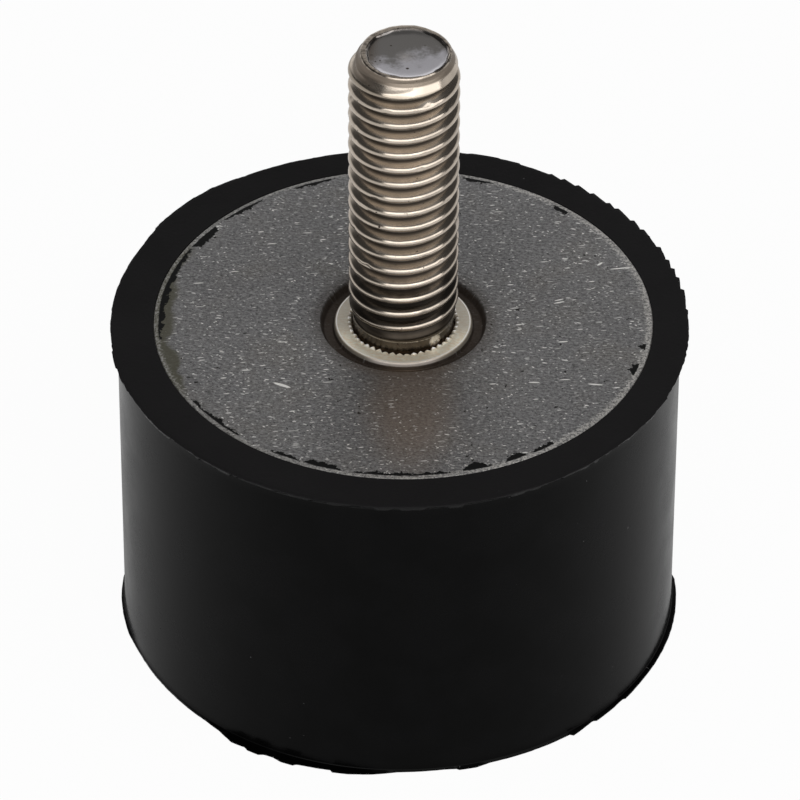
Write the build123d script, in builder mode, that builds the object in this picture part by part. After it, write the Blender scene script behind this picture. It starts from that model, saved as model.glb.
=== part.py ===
from build123d import *
from math import cos, pi, radians, sin, tan
import os

# Cylindrical anti-vibration mount: a rubber cylinder moulded round a steel disc at each end.
# A threaded stud is pressed through the top disc, and a threaded bush is riveted in the bottom one.
# Millimetres, +Z up along the stud, origin at the centre of the rubber's underside.

# Rubber cylinder
rubber_diameter = 40.0
rubber_height = 25.0
top_lip_overhang = 0.6  # trimmed flash round the top edge
top_lip_height = 0.4
top_lip_taper = 0.25  # height over which the lip's underside runs back to the wall
foot_lip_overhang = 0.25  # thin flash round the foot
foot_lip_height = 0.3

# Steel discs, bonded flush into both ends
plate_diameter = 35.5
plate_thickness = 2.0
plate_edge_chamfer = 0.15
top_metal_shift_x = 0.3  # the top disc and its stud sit slightly off the rubber's centre
top_metal_shift_y = 0.15

# Staking groove punched into the top disc, which closes its hole on the stud
groove_inner_diameter = 9.75
groove_outer_diameter = 11.85
groove_depth = 0.65
groove_wall_draft = 0.3  # how far the outer wall leans back over the groove's depth
collar_wall_draft = 0.15
collar_slope = 0.1  # the collar inside the groove falls this much towards its outer edge

# Threaded stud
thread_diameter = 7.8  # crest to crest
rolled_shank_diameter = 7.15  # what the thread was rolled from, bare at its foot
stud_protrusion = 23.5
thread_foot_gap = 2.0  # from the disc's face to where the thread is full
thread_runout = 1.1
end_face_diameter = 6.6
end_chamfer_length = 1.2
end_dish_diameter = 5.6
end_dish_depth = 0.22
stud_head_diameter = 14.0
stud_head_thickness = 2.4
stud_head_chamfer = 0.5

# Ridges of the stud's neck, pressed into the top disc's hole
ridge_count = 48
ridge_root_diameter = 7.72
ridge_depth = 0.2
ridge_top_gap = 0.6  # how far the ridges stop short of the disc's face

# Threaded bush, riveted into the bottom disc
bush_diameter = 13.0
bush_depth = 12.5  # from the underside to its closed end
bush_chamfer = 0.6
bush_spigot_diameter = 10.5
rivet_flare = 0.5
bush_end_wall = 1.5  # closed end beyond the point of the tapped hole
tapped_hole_diameter = 6.7
tapped_hole_mouth_diameter = 8.4
drill_point_angle = 118.0

# Levels and planes that the pieces share
top_face = rubber_height
stud_seat = top_face - plate_thickness  # underside of the top disc, where the stud's head bears
top_plane = Plane(origin=(top_metal_shift_x, top_metal_shift_y, 0), x_dir=(1, 0, 0), z_dir=(0, -1, 0))
top_axis = Axis((top_metal_shift_x, top_metal_shift_y, 0), (0, 0, 1))
plate_radius = plate_diameter / 2
ridge_root_radius = ridge_root_diameter / 2


def level(height):
    """Horizontal plane on the top metalwork's axis."""
    return Plane.XY.offset(height).move(Location((top_metal_shift_x, top_metal_shift_y, 0)))


def ridge_points():
    """Zigzag round the stud's neck, from the tip of a ridge to the root and on."""
    points = []
    for i in range(2 * ridge_count):
        radius = ridge_root_radius + (ridge_depth if i % 2 == 0 else 0)
        angle = i * pi / ridge_count
        points.append((radius * cos(angle), radius * sin(angle)))
    return points


# Top disc: blanked, with its upper edge broken, then grooved by the staking punch
groove_inner = groove_inner_diameter / 2
groove_outer = groove_outer_diameter / 2
with BuildPart() as top_plate:
    with BuildSketch(top_plane):
        with BuildLine():
            Polyline(
                (0, stud_seat),
                (plate_radius, stud_seat),
                (plate_radius, top_face - plate_edge_chamfer),
                (plate_radius - plate_edge_chamfer, top_face),
                (groove_outer, top_face),
                (groove_outer - groove_wall_draft, top_face - groove_depth),
                (groove_inner + collar_wall_draft, top_face - groove_depth),
                (groove_inner, top_face - collar_slope),
                (ridge_root_radius, top_face),
                (0, top_face),
                close=True,
            )
        make_face()
    revolve(axis=top_axis)
    with BuildSketch(level(stud_seat)):
        with BuildLine():
            Polyline(*ridge_points(), close=True)
        make_face()
    extrude(amount=plate_thickness, mode=Mode.SUBTRACT)
top_plate.part.label = "top_plate"

# Stud: a flat head under the disc, the ridged neck through it, then the bare neck and the shank
thread_radius = thread_diameter / 2
neck_radius = rolled_shank_diameter / 2
end_radius = end_face_diameter / 2
dish_radius = end_dish_diameter / 2
dish_curve = (dish_radius**2 + end_dish_depth**2) / (2 * end_dish_depth)
head_radius = stud_head_diameter / 2
stud_end = top_face + stud_protrusion
ridge_top = top_face - ridge_top_gap
thread_foot = top_face + thread_foot_gap
with BuildPart() as threaded_stud:
    with BuildSketch(top_plane):
        with BuildLine():
            rim = Polyline(
                (0, stud_seat - stud_head_thickness),
                (head_radius - stud_head_chamfer, stud_seat - stud_head_thickness),
                (head_radius, stud_seat - stud_head_thickness + stud_head_chamfer),
                (head_radius, stud_seat),
                (neck_radius, stud_seat),
                (neck_radius, thread_foot - thread_runout),
                (thread_radius, thread_foot),
                (thread_radius, stud_end - end_chamfer_length),
                (end_radius, stud_end),
                (dish_radius, stud_end),
            )
            dish = RadiusArc((dish_radius, stud_end), (0, stud_end - end_dish_depth), dish_curve)
            Line(dish @ 1, rim @ 0)
        make_face()
    revolve(axis=top_axis)
    with BuildSketch(level(stud_seat)):
        with BuildLine():
            Polyline(*ridge_points(), close=True)
        make_face()
    extrude(amount=ridge_top - stud_seat)
threaded_stud.part.label = "threaded_stud"

# Bottom disc, with a countersunk hole for the bush's riveted spigot
spigot_radius = bush_spigot_diameter / 2
with BuildPart() as bottom_plate:
    with BuildSketch(Plane.XZ):
        with BuildLine():
            Polyline(
                (spigot_radius + rivet_flare, 0),
                (plate_radius - plate_edge_chamfer, 0),
                (plate_radius, plate_edge_chamfer),
                (plate_radius, plate_thickness),
                (spigot_radius, plate_thickness),
                (spigot_radius, rivet_flare),
                close=True,
            )
        make_face()
    revolve(axis=Axis.Z)
bottom_plate.part.label = "bottom_plate"

# Bush: a blind tapped hole, a shoulder on the disc, and a spigot flared into the countersink
bush_radius = bush_diameter / 2
hole_radius = tapped_hole_diameter / 2
mouth_radius = tapped_hole_mouth_diameter / 2
tapped_hole_depth = bush_depth - bush_end_wall
drill_point = hole_radius / tan(radians(drill_point_angle / 2))
with BuildPart() as threaded_bush:
    with BuildSketch(Plane.XZ):
        with BuildLine():
            Polyline(
                (mouth_radius, 0),
                (spigot_radius + rivet_flare, 0),
                (spigot_radius, rivet_flare),
                (spigot_radius, plate_thickness),
                (bush_radius, plate_thickness),
                (bush_radius, bush_depth - bush_chamfer),
                (bush_radius - bush_chamfer, bush_depth),
                (0, bush_depth),
                (0, tapped_hole_depth),
                (hole_radius, tapped_hole_depth - drill_point),
                (hole_radius, mouth_radius - hole_radius),
                close=True,
            )
        make_face()
    revolve(axis=Axis.Z)
threaded_bush.part.label = "threaded_bush"

# Rubber: the moulded wall with its two flash lips, filled round all the metal
rubber_radius = rubber_diameter / 2
with BuildPart() as rubber_body:
    with BuildSketch(Plane.XZ):
        with BuildLine():
            Polyline(
                (0, 0),
                (rubber_radius + foot_lip_overhang, 0),
                (rubber_radius, foot_lip_height),
                (rubber_radius, top_face - top_lip_height - top_lip_taper),
                (rubber_radius + top_lip_overhang, top_face - top_lip_height),
                (rubber_radius + top_lip_overhang, top_face),
                (0, top_face),
                close=True,
            )
        make_face()
    revolve(axis=Axis.Z)
    with BuildSketch(top_plane):
        with BuildLine():
            Polyline(
                (0, stud_seat - stud_head_thickness),
                (head_radius - stud_head_chamfer, stud_seat - stud_head_thickness),
                (head_radius, stud_seat - stud_head_thickness + stud_head_chamfer),
                (head_radius, stud_seat),
                (plate_radius, stud_seat),
                (plate_radius, top_face),
                (0, top_face),
                close=True,
            )
        make_face()
    revolve(axis=top_axis, mode=Mode.SUBTRACT)
    with BuildSketch(Plane.XZ):
        with BuildLine():
            Polyline(
                (0, 0),
                (plate_radius, 0),
                (plate_radius, plate_thickness),
                (bush_radius, plate_thickness),
                (bush_radius, bush_depth - bush_chamfer),
                (bush_radius - bush_chamfer, bush_depth),
                (0, bush_depth),
                close=True,
            )
        make_face()
    revolve(axis=Axis.Z, mode=Mode.SUBTRACT)
rubber_body.part.label = "rubber_body"

for piece in (rubber_body, top_plate, threaded_stud, bottom_plate, threaded_bush):
    export_step(piece.part, f"parts/{piece.part.label}.step")
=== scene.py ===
from math import atan2, cos, degrees, hypot, pi, radians, sin
from random import Random
from types import SimpleNamespace

import bmesh
import bpy
from mathutils import Matrix, Vector, noise


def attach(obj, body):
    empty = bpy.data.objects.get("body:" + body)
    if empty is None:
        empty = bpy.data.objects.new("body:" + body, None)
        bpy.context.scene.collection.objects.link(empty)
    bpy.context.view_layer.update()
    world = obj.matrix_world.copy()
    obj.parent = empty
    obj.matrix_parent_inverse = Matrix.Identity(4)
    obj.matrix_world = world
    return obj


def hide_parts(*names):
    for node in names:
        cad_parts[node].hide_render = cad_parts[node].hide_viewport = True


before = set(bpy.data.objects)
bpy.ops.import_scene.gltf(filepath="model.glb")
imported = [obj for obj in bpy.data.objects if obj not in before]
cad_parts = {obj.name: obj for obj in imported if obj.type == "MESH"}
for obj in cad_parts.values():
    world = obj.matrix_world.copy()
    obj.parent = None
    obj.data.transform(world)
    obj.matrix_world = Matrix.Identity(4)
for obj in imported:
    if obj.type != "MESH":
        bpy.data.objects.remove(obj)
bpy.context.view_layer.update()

# Threaded bush
# A turned and plated steel bush with a blind M8 hole. Its spigot is riveted over in the bottom disc, and the
# rest of it sits in the rubber. Lengths are millimetres until a piece is finished.
disc_thickness = 2.0
spigot_radius, spigot_flare = 5.25, 0.5
bush_radius, bush_corner = 6.5, 11.9
bush_end_radius, bush_end = 5.9, 12.5
pitch = 1.25
bush_minor, bush_major, bush_mouth = 3.35, 4.02, 4.2
bush_thread_end, bush_drill_point = 8.9, 11.0
steps_a_turn = 96


def points_of(made):
    """The points among what a mesh operator made."""
    return [item for item in made if isinstance(item, bmesh.types.BMVert)]


def turned(outline, centre=(0, 0), steps=steps_a_turn, sectors=4, rise=0.0, turns=1, closed=False, cuts=0):
    """Spins an outline of (radius, height, rounding) about an upright axis; with a rise a turn it is a screw.

    One sector is spun, and the others are turned copies of it.
    """
    bm = bmesh.new()
    corners = [bm.verts.new((centre[0] + point[0], centre[1], point[1])) for point in outline]
    after = corners[1:] + corners[:1] if closed else corners[1:]
    lines = [bm.edges.new(pair) for pair in zip(corners, after)]
    if cuts:
        bmesh.ops.subdivide_edges(bm, edges=[e for e in lines if e.calc_length() > 0.3], cuts=cuts)
    for radius, height, rounding in (point for point in outline if len(point) > 2):
        at = Vector((centre[0] + radius, centre[1], height))
        corner = min(bm.verts, key=lambda v: (v.co - at).length)
        bmesh.ops.bevel(
            bm, geom=[corner], offset=rounding, affect="VERTICES", segments=4, profile=0.5, material=-1,
        )
    bmesh.ops.spin(
        bm, geom=bm.verts[:] + bm.edges[:], cent=(*centre, 0), axis=(0, 0, 1), dvec=(0, 0, rise / steps),
        angle=2 * pi / sectors, steps=steps // sectors,
    )
    sector = bm.verts[:] + bm.edges[:] + bm.faces[:]
    for i in range(1, sectors * turns):
        copied = points_of(bmesh.ops.duplicate(bm, geom=sector)["geom"])
        turn = Matrix.Rotation(2 * pi * i / sectors, 3, "Z")
        bmesh.ops.rotate(bm, cent=(*centre, 0), matrix=turn, verts=copied)
        bmesh.ops.translate(bm, vec=(0, 0, rise * i / sectors), verts=copied)
    bmesh.ops.remove_doubles(bm, verts=bm.verts, dist=0.001)
    return bm


def cut_level(bm, height, above):
    """Cuts a turned mesh off square, and takes away what is above the cut or below it."""
    bmesh.ops.bisect_plane(
        bm, geom=bm.verts[:] + bm.edges[:] + bm.faces[:], dist=0.0005, plane_co=(0, 0, height),
        plane_no=(0, 0, 1), clear_outer=above, clear_inner=not above,
    )


def reshape(bm, centre, radius_at):
    """Moves every point to the radius that it should have, from its angle, radius and height."""
    for v in bm.verts:
        x, y = v.co.x - centre[0], v.co.y - centre[1]
        radius = hypot(x, y)
        if radius > 0.01:
            grown = radius_at(atan2(y, x), radius, v.co.z) / radius
            v.co.x, v.co.y = centre[0] + x * grown, centre[1] + y * grown


def carry_on(bm, height, path, centre=(0, 0)):
    """Extrudes the open rim at a height through (radius, height) rings; a radius may depend on the angle."""
    rim = [e for e in bm.edges if e.is_boundary and all(abs(v.co.z - height) < 0.002 for v in e.verts)]
    for radius, level in path:
        grown = bmesh.ops.extrude_edge_only(bm, edges=rim)["geom"]
        for v in points_of(grown):
            angle = atan2(v.co.y - centre[1], v.co.x - centre[0])
            reach = radius(angle) if callable(radius) else radius
            v.co = (centre[0] + reach * cos(angle), centre[1] + reach * sin(angle), level)
        rim = [item for item in grown if isinstance(item, bmesh.types.BMEdge) and item.is_boundary]


def finished(name, bm, finish, crease=35):
    """Closes seams, turns the faces outwards, brings the mesh to metres and fixes the piece to the mount."""
    bmesh.ops.remove_doubles(bm, verts=bm.verts, dist=0.001)
    bmesh.ops.recalc_face_normals(bm, faces=bm.faces)
    bmesh.ops.scale(bm, vec=(0.001, 0.001, 0.001), verts=bm.verts)
    mesh = bpy.data.meshes.new(name)
    bm.to_mesh(mesh)
    bm.free()
    mesh.shade_smooth()
    mesh.set_sharp_from_angle(angle=radians(crease))
    mesh.materials.append(finish)
    made = bpy.data.objects.new(name, mesh)
    bpy.context.scene.collection.objects.link(made)
    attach(made, "root")
    return made


class Reading:
    """A value, colour or position that varies over a finish; sums on it add Math nodes."""

    def __init__(self, tree, socket=None):
        self.tree, self.socket = tree, socket

    def node(self, kind, settings=None, inputs=None, out=0):
        made = self.tree.nodes.new("ShaderNode" + kind)
        for name, value in (settings or {}).items():
            setattr(made, name, value)
        for name, value in (inputs or {}).items():
            if isinstance(value, Reading):
                self.tree.links.new(value.socket, made.inputs[name])
            else:
                made.inputs[name].default_value = value
        return Reading(self.tree, made.outputs[out])

    def output(self, name):
        """Another output of the node that this one comes from."""
        return Reading(self.tree, self.socket.node.outputs[name])

    def maths(self, operation, *values):
        return self.node("Math", {"operation": operation}, dict(enumerate(values)))

    def __add__(self, other):
        return self.maths("ADD", self, other)

    def __radd__(self, other):
        return self.maths("ADD", other, self)

    def __sub__(self, other):
        return self.maths("SUBTRACT", self, other)

    def __rsub__(self, other):
        return self.maths("SUBTRACT", other, self)

    def __mul__(self, other):
        return self.maths("MULTIPLY", self, other)

    def __rmul__(self, other):
        return self.maths("MULTIPLY", other, self)

    def larger(self, other):
        return self.maths("MAXIMUM", self, other)

    def unsigned(self):
        return self.maths("ABSOLUTE", self)

    def ramp(self, low, high):
        """0 at low and below, 1 at high and above, smooth between; low may be the greater."""
        levels = {"Value": self, "From Min": low, "From Max": high}
        return self.node("MapRange", {"interpolation_type": "SMOOTHSTEP"}, levels)

    def blend(self, first, second):
        """first where this is 0 and second where it is 1, as colours."""
        return self.node("Mix", {"data_type": "RGBA"}, {0: self, 6: first, 7: second}, out=2)

    def vector(self, operation, other, out=0):
        return self.node("VectorMath", {"operation": operation}, {0: self, 1: other}, out=out)

    def stretched(self, x, y, z, turn=0.0):
        """A position turned about the upright axis, then scaled."""
        rotation = (0, 0, radians(turn))
        laid = self.node("Mapping", {"vector_type": "POINT"}, {"Vector": self, "Rotation": rotation})
        return laid.vector("MULTIPLY", (x, y, z))

    def axis(self, letter):
        """One of a position's three measures."""
        return self.node("SeparateXYZ", {}, {0: self}, out="XYZ".index(letter))

    def from_point(self, point):
        """Distance of a position from an upright line through a point."""
        return self.vector("MULTIPLY", (1, 1, 0)).vector("DISTANCE", (*point, 0), out=1)

    def noise(self, scale, detail=2.0, roughness=0.5):
        inputs = {"Vector": self, "Scale": scale, "Detail": detail, "Roughness": roughness}
        return self.node("TexNoise", {}, inputs)


def finish_named(name, **constants):
    """A new finish: its shader, and the position on the piece in millimetres."""
    finish = bpy.data.materials.new(name)
    finish.use_nodes = True
    tree = finish.node_tree
    shader = tree.nodes["Principled BSDF"]
    for socket, value in constants.items():
        shader.inputs[socket.replace("_", " ")].default_value = value
    place = Reading(tree).node("TexCoord", out=3)
    return finish, shader, place.stretched(1000, 1000, 1000)


def drive(shader, **readings):
    """Joins varying readings to the sockets of a shader."""
    for socket, reading in readings.items():
        reading.tree.links.new(reading.socket, shader.inputs[socket.replace("_", " ")])


def relief(height, distance, strength=1.0):
    """A bump normal from a height; the distance is in metres."""
    return height.node("Bump", {}, {"Height": height, "Distance": distance, "Strength": strength})


def layered(colour, *layers):
    """A colour under layers of (where it shows, tint), each over the one before."""
    for shows, tint in layers:
        colour = shows.blend(colour, (*tint, 1) if isinstance(tint, tuple) else tint)
    return colour


def plating_marks(place):
    """What the plating shows: a dull tarnish in patches, small dark pits and a fine grain."""
    patches = place.noise(0.55, 4.0, 0.6).ramp(0.35, 0.65)
    pits = place.noise(2.6, 2.0, 0.5).ramp(0.7, 0.76)
    grain = place.stretched(1, 1, 6).noise(3.0, 3.0, 0.6)
    return patches, pits, grain


def bush_bore(angle, radius, height):
    """Internal thread, fading out at the bottom of the tapping and countersunk at the mouth."""
    fade = min(1, max(0, (bush_thread_end - height) / pitch))
    return max(bush_minor + (radius - bush_minor) * fade, bush_mouth - height)


bush_thread = turned(
    [(bush_minor, 0), (bush_minor, 0.31, 0.04), (bush_major, 0.7, 0.03), (bush_major, 0.86, 0.03),
     (bush_minor, pitch)],
    rise=pitch, turns=9, cuts=2,
)
bmesh.ops.translate(bush_thread, vec=(0, 0, -pitch), verts=bush_thread.verts)
cut_level(bush_thread, 0, above=False)
cut_level(bush_thread, bush_thread_end, above=True)
reshape(bush_thread, (0, 0), bush_bore)
carry_on(
    bush_thread, 0,
    [(spigot_radius + spigot_flare, 0), (spigot_radius, spigot_flare), (spigot_radius, disc_thickness),
     (bush_radius, disc_thickness), (bush_radius, bush_corner), (bush_end_radius, bush_end), (0, bush_end)],
)
carry_on(bush_thread, bush_thread_end, [(0, bush_drill_point)])
finish, shader, place = finish_named("bush plating", Metallic=1.0)
patches, pits, grain = plating_marks(place)
colour = patches.blend((0.6, 0.57, 0.52, 1), (0.42, 0.38, 0.33, 1))
drive(
    shader, Base_Color=layered(colour, (pits, (0.08, 0.06, 0.05))),
    Roughness=0.2 + 0.12 * patches + 0.1 * grain + 0.25 * pits,
    Normal=relief(grain - 0.6 * pits, 0.00001, 0.5),
)
bush = finished("bush", bush_thread, finish)
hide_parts("threaded_bush")

# Threaded stud
# A plated steel stud with a rolled M8 thread. Its flat head bears on the top disc from inside the rubber,
# and its ridged neck is pressed through the disc. Above that the neck is bare, the thread fades in, and the
# end is chamfered and dished.
stud_axis = (0.3, 0.15)
stud_end = 48.5
stud_pitch = 1.265  # rolled a little long
thread_crest, thread_root, neck = 3.894, 3.2, 3.575
root_flat, flank_height = 0.16, 0.42
root_rounding, crest_foot_rounding, crest_rounding = 0.04, 0.06, 0.16
thread_start, thread_turns = 21.765, 22
runout_low, runout_high = 25.35, 27.4
knocked_above, knock_share, knock_depth = 3.7, 0.42, 0.3  # small knocks on the crests
end_radius, end_rounding = 3.15, 0.12
end_slope, chamfer_slope, chamfer_drop = 0.35, 0.5, 0.42  # nearly upright by the rim, then steeper all round
chamfer_lean = 0.6
end_shift = (0.12, 0.06)  # the chamfer was cut off the thread's axis
filled_from, filled_tilt, filled_over, filled_share = 47.47, 0.22, 0.42, 0.8  # where the last groove fills up
dish_shift = (0.22, -0.07)
rim_level = 48.28
ridge_count, ridge_root, ridge_tip = 48, 3.86, 4.06
ridge_top, seat_level = 24.4, 23.0
head_radius, head_corner = 7.0, 21.1
head_face_radius, head_face = 6.5, 20.6


def stud_side(angle, radius, height):
    """The rolled thread, cut down by the end's chamfer and fading into the bare neck at its foot."""
    rolled = min(1, max(0, (height - runout_low) / (runout_high - runout_low)))
    rolled = rolled * rolled * (3 - 2 * rolled)
    if radius > knocked_above:
        knocked = noise.noise(Vector((5 * cos(angle), 5 * sin(angle), 2.2 * height)))
        radius -= knock_depth * max(0, knocked - knock_share)
    drop = stud_end - height
    chamfer = end_radius + end_shift[0] * cos(angle) + end_shift[1] * sin(angle) + drop * end_slope
    chamfer += chamfer_slope * (1 - chamfer_lean * cos(angle)) * max(0, drop - chamfer_drop)
    thread = neck + (radius - neck) * rolled
    filled = min(1, max(0, (height - filled_from - filled_tilt * sin(angle)) / filled_over))
    thread = max(thread, thread + filled_share * filled * (chamfer - thread))
    rounded = max(end_rounding - abs(thread - chamfer), 0) ** 2 / (4 * end_rounding)
    return min(thread, chamfer) - rounded


def off_centre(radius, shift, waves):
    """Radius at each angle of a ring that is off the stud's axis and a little uneven."""
    return lambda angle: (
        radius + shift[0] * cos(angle) + shift[1] * sin(angle)
        + waves * (sin(5 * angle + 1) + 0.7 * sin(11 * angle) + 0.5 * sin(23 * angle + 2))
    )


def ridges(angle):
    """Zigzag of the neck's ridges."""
    along = (angle / (2 * pi) * ridge_count) % 1
    return ridge_root + (ridge_tip - ridge_root) * abs(2 * along - 1)


crest_low, crest_high = root_flat / 2 + flank_height, stud_pitch - root_flat / 2 - flank_height
stud_thread = turned(
    [(thread_root, 0), (thread_root, root_flat / 2, root_rounding),
     (thread_crest, crest_low, crest_foot_rounding), (thread_crest, crest_high, crest_rounding),
     (thread_root, stud_pitch - root_flat / 2, root_rounding), (thread_root, stud_pitch)],
    centre=stud_axis, rise=stud_pitch, turns=thread_turns, cuts=3,
)
bmesh.ops.translate(stud_thread, vec=(0, 0, thread_start), verts=stud_thread.verts)
cut_level(stud_thread, ridge_top, above=False)
cut_level(stud_thread, rim_level, above=True)
reshape(stud_thread, stud_axis, stud_side)
# The end's rings, over the rim and down into the dish: radius, shift off the axis, unevenness, height.
end_rings = [
    (3.19, end_shift, 0.01, 48.39), (3.1, end_shift, 0.02, 48.47), (3.0, (0.17, 0.03), 0.025, 48.5),
    (2.9, dish_shift, 0.03, 48.48), (2.83, dish_shift, 0.03, 48.42), (2.76, dish_shift, 0.025, 48.34),
    (2.66, dish_shift, 0.01, 48.28), (2.3, dish_shift, 0, 48.21), (1.8, dish_shift, 0, 48.15),
    (1.2, dish_shift, 0, 48.11), (0.6, (0, 0), 0, 48.09), (0, (0, 0), 0, 48.08),
]
carry_on(stud_thread, rim_level, [(off_centre(*ring[:3]), ring[3]) for ring in end_rings], stud_axis)
carry_on(
    stud_thread, ridge_top,
    [(ridges, ridge_top - 0.05), (ridges, seat_level), (head_radius, seat_level), (head_radius, head_corner),
     (head_face_radius, head_face), (0, head_face)],
    stud_axis,
)
finish, shader, place = finish_named("stud plating", Metallic=1.0)
height_on, radius_on = place.axis("Z"), place.from_point(stud_axis)
patches, pits, grain = plating_marks(place)
wander = place.noise(0.8, 3.0, 0.6) - 0.5
# The end: a smooth dish, darker and mottled over its far half, with one dark dot, inside a worn rim; painted
# shade darkens the rim and the dish's wall at the left and right.
dish_centre = (stud_axis[0] + dish_shift[0], stud_axis[1] + dish_shift[1])
dish_radius = place.from_point(dish_centre)
end_face = height_on.ramp(48.05, 48.1) * dish_radius.ramp(2.95, 2.7)
# the dish is darker and mottled over its far half, with a slight relief there
far_half_mottle = (place.noise(0.9, 4.0, 0.7) + 0.19 * place.axis("Y") - 0.07 * place.axis("X")).ramp(0.22, 0.66)
dot = place.from_point((0.52, -1.29)).ramp(0.14, 0.08) * end_face
aside = (place.axis("X") - dish_centre[0]).unsigned()
# painted shade: the worn rim and the dish's wall are made darker at their left and right sides
rim_wear_and_side_shade = height_on.ramp(48.28, 48.38) * (0.25 + 0.7 * place.noise(2.6, 4.0, 0.75).ramp(0.4, 0.6))
rim_wear_and_side_shade = rim_wear_and_side_shade * (0.45 + 0.55 * aside.ramp(0.9, 2.2))
dish_wall_side_shade = dish_radius.ramp(2.45, 2.75) * height_on.ramp(48.1, 48.2) * aside.ramp(1.3, 2.1)
rim_wear_and_side_shade = rim_wear_and_side_shade.larger(0.35 * dish_wall_side_shade)
# The thread: painted shade in its last groove, more on the left, and at its roots and on its flanks towards
# its foot; its first crest is dull.
# painted shade in the last groove, and more of it at the left
last_groove_shade = radius_on.ramp(3.0, 3.06) * height_on.ramp(47.82, 47.92) * height_on.ramp(48.38, 48.32)
left_groove_shade = place.axis("X").ramp(-1.2, -2.4) * height_on.ramp(47.3, 47.5) * height_on.ramp(48.36, 48.26)
last_groove_shade = last_groove_shade.larger(left_groove_shade * radius_on.ramp(3.75, 3.6))
first_crest = height_on.ramp(47.5, 47.4) * height_on.ramp(46.95, 47.05) * radius_on.ramp(3.68, 3.76)
# painted shade in the thread's roots
root_shade = radius_on.ramp(3.56, 3.28) * (1 - height_on.ramp(47.2, 47.6))
# painted shade: the flanks darken towards the foot while the crests stay bright
low_flank_shade = 0.2 * (height_on + 4 * wander).ramp(40, 35) + 0.65 * (height_on + 3 * wander).ramp(31.6, 29.4)
low_flank_shade = low_flank_shade * radius_on.ramp(3.84, 3.74)
# The neck: darker, with one faint turned line and one painted highlight spot, and painted shade down in the
# slot round it.
# the neck is darker below the thread, less so where crests still stand out
neck_darkening = height_on.ramp(27.5, 27.1) * (0.5 + 0.43 * height_on.ramp(25.9, 26.1) + 0.4 * wander)
neck_darkening = neck_darkening * (1 - 0.85 * radius_on.ramp(3.8, 3.84))
faint_line = height_on.ramp(25.7, 25.77) * height_on.ramp(25.86, 25.79) * (0.5 + 1.5 * wander)
# a painted highlight spot on the neck
painted_highlight_spot = (place.vector("DISTANCE", (2.6, -2.6, 25.36), out=1) + 0.5 * wander).ramp(0.6, 0.4)
# painted shade in the slot between the neck and the disc
slot_shade = 0.9 * height_on.ramp(25.05, 24.85)
colour = layered(
    patches.blend((0.65, 0.565, 0.475, 1), (0.54, 0.47, 0.395, 1)),
    (end_face, (0.59, 0.575, 0.61)),
    (end_face * far_half_mottle * 0.8, (0.13, 0.12, 0.1)),
    (rim_wear_and_side_shade * 0.8, (0.12, 0.1, 0.085)),
    (low_flank_shade, (0.035, 0.03, 0.026)),
    (neck_darkening, (0.04, 0.032, 0.024)),
    (faint_line, (0.55, 0.52, 0.48)),
    (last_groove_shade * 0.75, (0.13, 0.1, 0.075)),
    (first_crest * 0.6, (0.3, 0.255, 0.2)),
    (painted_highlight_spot * 0.7, (0.8, 0.77, 0.74)),
    (root_shade * 0.9, (0.05, 0.042, 0.035)),
    (pits.larger(dot), (0.07, 0.055, 0.045)),
    (slot_shade, (0.2, 0.14, 0.095)),
)
rough = 0.13 + 0.05 * patches + 0.06 * grain + 0.2 * pits
rough = rough + 0.25 * root_shade + 0.25 * last_groove_shade + 0.15 * neck_darkening + 0.2 * slot_shade
height = grain - 0.6 * pits + 0.5 * end_face * far_half_mottle
drive(shader, Base_Color=colour, Roughness=rough, Normal=relief(height, 0.000004, 0.5))
stud = finished("stud", stud_thread, finish, crease=50)
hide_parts("threaded_stud")

# Bottom disc
# A blanked steel disc, flush in the rubber's underside. The same phosphated steel as the top disc, with
# scuffs from the floor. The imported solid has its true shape, so it stays and gets the finish.


def dashes(place, along, across, turn, size, share):
    """Short bright nicks that mostly lie one way: one to a cell, in a share of the cells."""
    laid = place.stretched(along, across, 1, turn)
    settings = {"voronoi_dimensions": "2D"}
    cell = laid.node("TexVoronoi", settings, {"Vector": laid, "Scale": 1.0, "Randomness": 1.0})
    chance = cell.output("Color")
    kept = chance.axis("X").ramp(1 - share, 1.01 - share)
    return (cell + 0.08 * chance.axis("Y")).ramp(size, 0.6 * size) * kept * (0.3 + chance.axis("Z"))


def lone_scratch(place, x, y, length, width, turn):
    """One scratch, pointed at both ends: its middle, length, width and direction."""
    from_middle = place.vector("SUBTRACT", (x, y, 0))
    return from_middle.stretched(1 / length, 1 / width, 0, -turn).from_point((0, 0)).ramp(0.5, 0.38)


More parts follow.
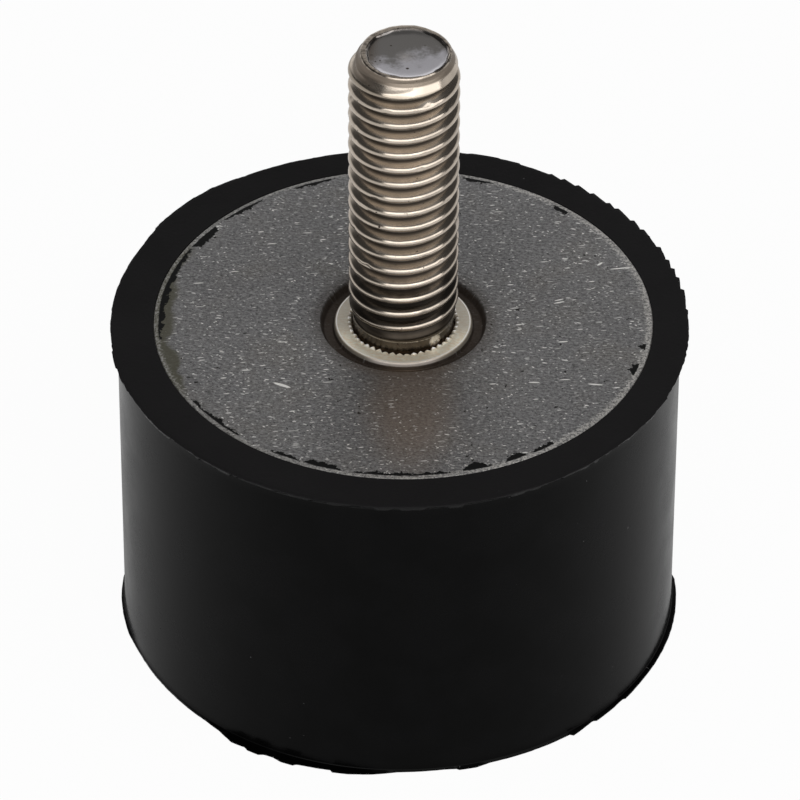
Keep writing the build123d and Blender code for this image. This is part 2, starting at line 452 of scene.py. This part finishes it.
def disc_steel(name, longest=()):
    """Dull phosphated steel: streaky mottled grey, fine bright nicks, scratches and small dark pits."""
    finish, shader, place = finish_named(name, Specular_IOR_Level=0.1)
    mottle = place.noise(0.3, 4.0, 0.6).ramp(0.3, 0.7)
    warm = place.noise(0.22, 2.0, 0.5).ramp(0.45, 0.7)
    streaks = place.stretched(1, 2.6, 1, 11).noise(2.4, 4.0, 0.8)
    speckle = place.noise(5.0, 3.0, 0.8)
    nicks = dashes(place, 0.7, 2.8, -7, 0.2, 0.2)
    for more in ((0.8, 3.0, 13, 0.19, 0.2), (1.6, 3.2, -24, 0.19, 0.3), (1.4, 2.9, 38, 0.18, 0.25)):
        nicks = nicks.larger(dashes(place, *more))
    nicks = nicks * (0.5 + 0.5 * place.noise(0.32, 2.0).ramp(0.4, 0.6))
    scratches = dashes(place, 0.36, 2.9, -5, 0.17, 0.06)
    for scratch in longest:
        scratches = scratches.larger(lone_scratch(place, *scratch))
    pits = place.noise(1.9, 2.0, 0.5).ramp(0.72, 0.76)
    colour = layered(
        mottle.blend((0.185, 0.182, 0.184, 1), (0.22, 0.217, 0.217, 1)),
        (warm * 0.5, (0.21, 0.195, 0.175)),
        (streaks.ramp(0.47, 0.6) * 0.62, (0.38, 0.375, 0.375)),
        (streaks.ramp(0.47, 0.36) * 0.72, (0.09, 0.088, 0.088)),
        (speckle.ramp(0.52, 0.66) * 0.5, (0.45, 0.445, 0.445)),
        (speckle.ramp(0.47, 0.36) * 0.7, (0.06, 0.058, 0.058)),
        (nicks, (1.0, 0.98, 0.95)),
        (scratches, (1.0, 0.98, 0.94)),
        (pits, (0.03, 0.028, 0.026)),
    )
    return SimpleNamespace(
        finish=finish, shader=shader, place=place,
        mottle=mottle, streaks=streaks, speckle=speckle, nicks=nicks,
        colour=colour, metal=0.75 - 0.4 * pits, rough=0.42 + 0.12 * speckle - 0.15 * scratches + 0.2 * pits,
        height=streaks * 0.5 + speckle * 0.3 + scratches * 0.4 - pits,
    )


def coated(steel):
    """Joins the readings of a disc's steel to its shader."""
    drive(
        steel.shader, Base_Color=steel.colour, Metallic=steel.metal, Roughness=steel.rough,
        Normal=relief(steel.height, 0.00002, 0.4),
    )
    return steel.finish


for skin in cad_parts["bottom_plate"].material_slots:
    skin.material = coated(disc_steel("bottom disc steel"))

# Top disc
# The upper blanked disc, flush in the top of the rubber. A staking punch has closed its hole on the stud's
# ridges, and left a groove round a raised collar. The disc's rolled edge has a painted highlight, and rubber
# is smeared on it in places.
plate_radius, plate_face, plate_rounding = 17.75, 25.0, 0.15
groove_floor = 24.35
columns_a_ridge = 6
teeth_within, tooth_tips_within, tooth_roots_above = 3.99, 3.95, 24.7
tooth_depth, tooth_set_in, tooth_height = 0.17, 0.04, 0.12
# The longest scratches: x and y of the middle, length, width, direction.
lone_scratches = [
    (-8.2, -7.3, 1.5, 0.3, -25), (13.8, -7.1, 1.2, 0.16, -6), (15.9, 6.2, 1.8, 0.15, 9),
    (11.4, 2.2, 0.9, 0.14, 17), (11.4, 2.5, 0.8, 0.12, 20), (11.6, -2.3, 0.8, 0.15, 5),
    (9.5, -6.9, 0.9, 0.15, 0), (14.4, 6.7, 0.6, 0.2, 44),
]
# Each smear of rubber on the disc's edge: from angle, to angle, width.
smears = [
    (349.0, 350.5, 0.6), (339.0, 343.5, 0.5), (302.0, 307.5, 0.45), (294.5, 299.5, 0.5), (284.0, 290.5, 0.6),
    (257.5, 282.0, 0.3), (247.0, 256.0, 0.5), (238.0, 246.0, 0.25), (211.0, 229.0, 0.3), (152.0, 188.0, 0.45),
    (141.5, 151.0, 0.7), (126.0, 140.0, 0.3), (105.5, 118.5, 0.3), (67.5, 75.5, 0.35), (47.0, 50.5, 0.5),
]
teeth = Random(48)
tooth_in = [teeth.uniform(-0.06, 0.08) for _ in range(ridge_count)]
tooth_up = [teeth.uniform(-0.07, 0.04) for _ in range(ridge_count)]
disc_outline = [
    (ridge_root, seat_level), (plate_radius, seat_level), (plate_radius, plate_face, plate_rounding),
    # the groove
    (5.93, plate_face, 0.06), (5.63, groove_floor, 0.08), (5.0, groove_floor, 0.05),
    # the collar
    (4.95, 24.62), (4.84, 24.92, 0.1), (4.1, 24.95), (4.0, 24.94),
    # the teeth, and the hole below them
    (3.9, 25.06, 0.02), (3.77, 25.0, 0.03), (3.68, 24.8), (3.72, 24.5), (ridge_root, 24.42),
]
top_disc = turned(
    disc_outline, centre=stud_axis, steps=ridge_count * columns_a_ridge, sectors=8, closed=True, cuts=1,
)
smear_layer = top_disc.verts.layers.float.new("smear")
for v in top_disc.verts:
    x, y = v.co.x - stud_axis[0], v.co.y - stud_axis[1]
    radius, angle = hypot(x, y), degrees(atan2(y, x)) % 360
    if radius < teeth_within:
        along = (angle / 360 * ridge_count) % 1
        tooth = int(angle / 360 * ridge_count) % ridge_count
        between = abs(2 * along - 1)
        reach = radius + tooth_in[tooth] * (1 - between)
        if radius < tooth_tips_within:
            reach += tooth_depth * between ** 2 - tooth_set_in
        v.co.x, v.co.y = stud_axis[0] + x * reach / radius, stud_axis[1] + y * reach / radius
        if v.co.z > tooth_roots_above:
            v.co.z += tooth_up[tooth] * (1 - between) - tooth_height * between
    for start, end, width in smears:
        if start < angle < end and v.co.z > tooth_roots_above:
            v[smear_layer] = width * sin(pi * (angle - start) / (end - start)) ** 0.5
steel = disc_steel("top disc steel", lone_scratches)
place = steel.place
height_on, radius_on = place.axis("Z"), place.from_point(stud_axis)
# The edge: speckled where it was rolled, with a painted highlight along it that is stronger to the right, and
# a brown stain at the left.
stain = (radius_on + 0.9 * steel.mottle).ramp(16.9, 17.5) * place.axis("X").ramp(-14.5, -15.5)
to_right = place.axis("X").ramp(-16, 12)
# painted highlight along the rolled edge, stronger to the right
rolled_edge_highlight = (radius_on + 0.9 * steel.speckle + 0.2 * to_right).ramp(17.74, 18.1)
rolled_edge_highlight = rolled_edge_highlight * (0.15 + 0.85 * steel.speckle.ramp(0.45, 0.57))
# The collar: burnished by the punch, with painted shade towards its back, a painted highlight line inside its
# beaded edge, and painted glints on the tips of its teeth.
burnished = radius_on.ramp(5.2, 5.08) * height_on.ramp(24.6, 24.7)
# painted light: the bead is light at the front and darker towards the back
bead_painted_light = place.from_point((0.3, -4.7)).ramp(1.7, 3.1).blend((0.56, 0.51, 0.47, 1), (0.24, 0.21, 0.17, 1))
collar = layered(
    steel.streaks.ramp(0.36, 0.64).blend((0.92, 0.77, 0.56, 1), (1.0, 0.97, 0.82, 1)),
    # painted shade towards the collar's back
    (place.axis("Y").ramp(-2.4, -0.2) * 0.6, (0.33, 0.3, 0.27)),
    (radius_on.ramp(4.78, 4.86), bead_painted_light),
    # a painted highlight line inside the bead
    (radius_on.ramp(4.68, 4.73) * radius_on.ramp(4.8, 4.75), (1.0, 0.98, 0.94)),
)
# painted glints on the tips of the teeth
tooth_glints = radius_on.ramp(4.0, 3.96) * height_on.ramp(24.97, 25.01) * place.noise(1.6, 1.0).ramp(0.38, 0.44)
# Round the collar: painted shade in the groove and on the disc beside it, lighter brown in front, and a brown
# tarnish in front.
tarnish = place.stretched(1, 0.45, 1).from_point((0.8, -4.3)).ramp(4.2, 1.2)
tarnish = tarnish * (0.15 + 0.5 * steel.streaks) * (1 - steel.nicks)
# painted shade in the groove and on the disc beside it, lighter brown at the front
groove_shade = (radius_on.ramp(7.2, 5.8) * 0.5).larger(radius_on.ramp(6.02, 5.8) * 0.92) * (1 - burnished)
groove_shade_tint = place.axis("Y").ramp(-4.4, -5.3).blend((0.042, 0.029, 0.02, 1), (0.14, 0.098, 0.065, 1))
# The smears: black rubber with a torn edge, just inside the rolled edge.
width = place.node("Attribute", {"attribute_name": "smear"}, out=2)
torn_edge = place.noise(1.5, 4.0, 0.65) - 0.5
smeared = (radius_on + width + 1.3 * torn_edge).ramp(17.36, 17.4) * width.ramp(0.03, 0.08)
smeared = smeared * (radius_on + 0.25 * torn_edge).ramp(17.42, 17.36)
steel.colour = layered(
    steel.colour,
    (stain * 0.85, (0.1, 0.095, 0.065)),
    (rolled_edge_highlight, to_right.blend((0.4, 0.39, 0.37, 1), (0.6, 0.58, 0.55, 1))),
    (burnished * 0.97, collar),
    (tooth_glints, (1.0, 0.97, 0.92)),
    (tarnish, (0.32, 0.23, 0.16)),
    (groove_shade, groove_shade_tint),
    (smeared, (0.006, 0.006, 0.006)),
)
steel.rough = steel.rough - 0.1 * burnished + 0.2 * smeared
steel.height = steel.height + 2.0 * smeared
steel.metal = (steel.metal - 0.3 * burnished - 0.3 * groove_shade - 0.3 * tooth_glints) * (1 - smeared)
plate = finished("top_disc", top_disc, coated(steel), crease=45)
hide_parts("top_plate")

# Rubber cylinder
# Black rubber moulded and bonded round all the metal. The flash at the joint of the mould was trimmed
# off round the top in short snips, which left a jagged lip, and a thin broken flash stays round the foot.
wall, rim_reach, foot_reach = 20.0, 20.5, 20.2
square = 20.57  # half the width of the square that the mount fits in
lip_rounding = 0.09  # what the rounding of the lip's edge takes off its reach
lip_above, lip_torn_below, flash_below = 24.4, 24.8, 0.2
off_wall = wall + 0.1
rubber_columns = 720
# The trimmed lip, as (from angle, reach beyond the wall there, reach where the next snip begins).
snips = [
    (0.0, 0.54, 0.57), (58.0, 0.5, 0.52), (64.6, 0.64, 0.56), (69.5, 0.62, 0.5), (76.0, 0.44, 0.3),
    (90.0, 0.26, 0.22), (101.0, 0.22, 0.26), (111.0, 0.3, 0.4), (124.0, 0.44, 0.66), (131.0, 0.7, 0.66),
    (136.0, 0.72, 0.6), (149.0, 0.52, 0.38), (154.0, 0.36, 0.4), (172.0, 0.4, 0.42),
]
nicks_right = (4.5, 10.9, 14.9, 18.0, 20.9, 25.2, 31.6, 35.2, 40.1, 43.0, 47.2, 51.1, 54.9)
snips = [(angle, 0.42, 0.68) for angle in nicks_right] + snips
hand = Random(25)
front_snip = 190.0
while front_snip < 355:
    snips.append((front_snip, hand.uniform(0.48, 0.56), hand.uniform(0.46, 0.6)))
    front_snip += hand.uniform(2.0, 6.0)
# The foot's flash, as (angle, reach beyond the wall), thinning and breaking off round the foot.
flash = [
    (0, 0.35), (3, 0.32), (6, 0.05), (12, 0.05), (16, 0.2), (38, 0.16), (41, 0.04), (62, 0.04), (64, 0.3),
    (79, 0.22), (80, 0.05), (117, 0.05), (120, 0.22), (131, 0.15), (149, 0.04), (150, 0.3), (166, 0.2),
    (168, 0.04), (174, 0.04), (177, 0.2), (184, 0.27), (190, 0.25), (195, 0.24), (198, 0.14), (203, 0.08),
    (216, 0.06), (227, 0.12), (231, 0.28), (235, 0.7), (238, 0.63), (239, 0.8), (241.5, 0.82), (242.6, 0.6),
    (244.5, 0.58), (246.4, 0.8), (249, 0.8), (249.6, 0.6), (256.5, 0.47), (257, 0.67), (260, 0.63),
    (265, 0.41), (270, 0.1), (279, 0.06), (282, 0.15), (282.4, 0.3), (286, 0.34), (289, 0.14), (303, 0.2),
    (307.5, 0.22), (308, 0.46), (313.8, 0.18), (314.5, 0.36), (320, 0.32), (321, 0.27), (323, 0.27),
    (323.5, 0.38), (330, 0.33), (345, 0.4), (352, 0.4), (360, 0.35),
]


def lip_reach(angle):
    """How far the trimmed lip stands beyond the wall, but never out of the square that the mount fits in."""
    start, first, last = max((snip for snip in snips if snip[0] <= angle), key=lambda snip: snip[0])
    end = min([snip[0] for snip in snips if snip[0] > angle], default=360.0)
    reach = first + (last - first) * (angle - start) / (end - start) + lip_rounding
    return min(reach, square / max(abs(cos(radians(angle))), abs(sin(radians(angle)))) - wall)


def flash_reach(angle):
    """How far the flash stands out round the foot."""
    before, after = next(pair for pair in zip(flash, flash[1:]) if pair[0][0] <= angle <= pair[1][0])
    return before[1] + (after[1] - before[1]) * (angle - before[0]) / (after[0] - before[0])


def torn_run(reach, longest):
    """A small offset for each column of the rubber, the same for a few columns in a row."""
    offsets = []
    while len(offsets) < rubber_columns:
        offsets += [hand.uniform(-reach, reach)] * hand.randint(1, longest)
    return offsets


rubber_outline = [
    # over the bush and the bottom disc
    (0, bush_end), (bush_end_radius, bush_end), (bush_radius, bush_corner), (bush_radius, disc_thickness),
    (plate_radius, disc_thickness), (plate_radius, 0),
    # the foot with its flash, the wall, and the lip
    (19.8, 0), (foot_reach, 0.04), (foot_reach, 0.13), (wall + 0.04, 0.26, 0.05), (wall, 0.7), (wall, 23.6),
    (wall, 24.3, 0.1), (20.34, 24.6, 0.06), (rim_reach, 24.95, 0.03), (20.3, plate_face, 0.04),
    (19.9, plate_face),
    # round the top disc and under the stud's head
    (plate_radius, plate_face), (plate_radius, seat_level), (head_radius, seat_level),
    (head_radius, head_corner), (head_face_radius, head_face), (0, head_face),
]
rubber_mesh = turned(rubber_outline, steps=rubber_columns, sectors=12)
ragged = torn_run(0.02, 4)
torn = torn_run(0.16, 6)
for v in rubber_mesh.verts:
    radius, angle = hypot(v.co.x, v.co.y), atan2(v.co.y, v.co.x)
    column = round(angle / (2 * pi) * rubber_columns) % rubber_columns
    turned_to = column / rubber_columns * 360
    grown = 1.0
    if radius < plate_radius + 0.05 and v.co.z > head_face - 0.1:
        v.co.x += stud_axis[0]
        v.co.y += stud_axis[1]
    elif radius > off_wall and v.co.z > lip_above:
        share = (radius - wall) / (rim_reach - wall)
        grown = (wall + share * (lip_reach(turned_to) + ragged[column])) / radius
        if v.co.z < lip_torn_below:
            v.co.z += torn[column]
    elif radius > off_wall and v.co.z < flash_below:
        grown = (wall + flash_reach(turned_to) + 0.5 * ragged[column]) / radius
    v.co.x, v.co.y = v.co.x * grown, v.co.y * grown
finish, shader, place = finish_named("black rubber", Specular_IOR_Level=0.07)
on_top = place.axis("Z").ramp(24.7, 24.95)
cloud = place.noise(0.25, 3.0, 0.5).ramp(0.35, 0.65)
dust = place.noise(1.5, 2.0, 0.6).ramp(0.77, 0.8)
fine = place.noise(3.5, 4.0, 0.6)
tone = layered(
    cloud.blend((0.0002, 0.0002, 0.0002, 1), (0.0009, 0.0009, 0.001, 1)),
    (on_top, (0.0105, 0.01, 0.0105)),
    (dust * 0.7, (0.12, 0.12, 0.12)),
)
drive(
    shader, Base_Color=tone, Roughness=0.17 + 0.06 * cloud + 0.4 * on_top + 0.08 * fine,
    Normal=relief(fine * (0.3 + on_top), 0.00004, 0.5),
)
rubber = finished("rubber", rubber_mesh, finish, crease=30)
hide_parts("rubber_body")

# Studio
# A pale floor that the mount stands on, white surroundings with dim sides and a dim ceiling, and two wide
# soft lights, one in front and one at the right.
floor_half_width, floor_level = 12.0, -0.00004
floor_bm = bmesh.new()
bmesh.ops.create_grid(floor_bm, x_segments=1, y_segments=1, size=floor_half_width)
bmesh.ops.translate(floor_bm, vec=(0, 0, floor_level), verts=floor_bm.verts)
floor_mesh = bpy.data.meshes.new("floor")
floor_bm.to_mesh(floor_mesh)
floor_bm.free()
floor = bpy.data.objects.new("floor", floor_mesh)
bpy.context.scene.collection.objects.link(floor)
pale = bpy.data.materials.new("pale floor")
pale.use_nodes = True
tree = pale.node_tree
paper = tree.nodes["Principled BSDF"]
paper.inputs["Base Color"].default_value = (0.9, 0.9, 0.9, 1)
paper.inputs["Roughness"].default_value = 0.9
paper.inputs["Specular IOR Level"].default_value = 0.1
start = Reading(tree)
ray = start.node("LightPath")
mirrored = ray.output("Is Glossy Ray") + ray.output("Is Transmission Ray")
whiteness = ray.output("Is Camera Ray") * 0.96 + mirrored * 0.4
white = start.node("Emission", {}, {"Color": (1, 1, 1, 1), "Strength": 1.0})
lit = start.node("MixShader", {}, {0: whiteness, 1: Reading(tree, paper.outputs[0]), 2: white})
from_below = start.node("NewGeometry").output("Backfacing")
whole = start.node("MixShader", {}, {0: from_below, 1: lit, 2: start.node("BsdfTransparent")})
tree.links.new(whole.socket, tree.nodes["Material Output"].inputs["Surface"])
floor_mesh.materials.append(pale)

world = bpy.data.worlds.new("studio")
bpy.context.scene.world = world
world.use_nodes = True
tree = world.node_tree
toward = Reading(tree).node("TexCoord").output("Generated")
aside, up = toward.axis("X").unsigned(), toward.axis("Z")
camera_ray = toward.node("LightPath").output("Is Camera Ray")
horizon = up.ramp(0.42, 0.12) * (1 - 0.65 * aside.ramp(0.35, 0.6))
sides = aside.ramp(0.4, 0.6) * up.ramp(0.2, 0.4)
overhead = up.ramp(0.85, 0.95)
level = (0.46 - 0.2 * overhead) * (1 - horizon) * (1 - 0.88 * sides) + horizon
level = camera_ray + (1 - camera_ray) * level
tree.links.new(level.socket, tree.nodes["Background"].inputs["Strength"])
tree.nodes["Background"].inputs["Color"].default_value = (1, 1, 1, 1)

aim = Vector((0.0, 0.0, 0.03))


def softbox(name, azimuth, elevation, distance, width, height, radiance):
    """A soft area light at an angle round the mount, with azimuth 0 in front and 90 at the right."""
    light = bpy.data.lights.new(name, "AREA")
    light.shape, light.size, light.size_y = "RECTANGLE", width, height
    light.energy = radiance * pi * width * height
    lamp = bpy.data.objects.new(name, light)
    round_by, up_by = radians(azimuth), radians(elevation)
    away = Vector((sin(round_by) * cos(up_by), -cos(round_by) * cos(up_by), sin(up_by)))
    lamp.location = aim + away * distance
    lamp.rotation_euler = away.to_track_quat("Z", "Y").to_euler()
    bpy.context.scene.collection.objects.link(lamp)


softbox("front softbox", -12, 35, 0.8, 0.8, 0.55, 1.6)
softbox("right softbox", 50, 35, 0.8, 0.8, 0.55, 1.6)

# Camera
# The photograph looks down on the mount from the front, from about half a metre, through a long lens.
look_down, camera_distance, camera_roll = 38.95, 0.48649, 0.201
camera_target = Vector((0.00009, 0.0, 0.017793))
photo_pixels, focal_pixels = 800, 6789.1
lens = bpy.data.cameras.new("camera")
lens.sensor_width = 36.0
lens.lens = focal_pixels * lens.sensor_width / photo_pixels
camera = bpy.data.objects.new("camera", lens)
turn = Matrix.Rotation(radians(90 - look_down), 4, "X") @ Matrix.Rotation(radians(camera_roll), 4, "Z")
forward = Vector((0, cos(radians(look_down)), -sin(radians(look_down))))
camera.matrix_world = Matrix.Translation(camera_target - forward * camera_distance) @ turn
bpy.context.scene.collection.objects.link(camera)
bpy.context.scene.camera = camera
bpy.context.scene.view_settings.view_transform = "Standard"
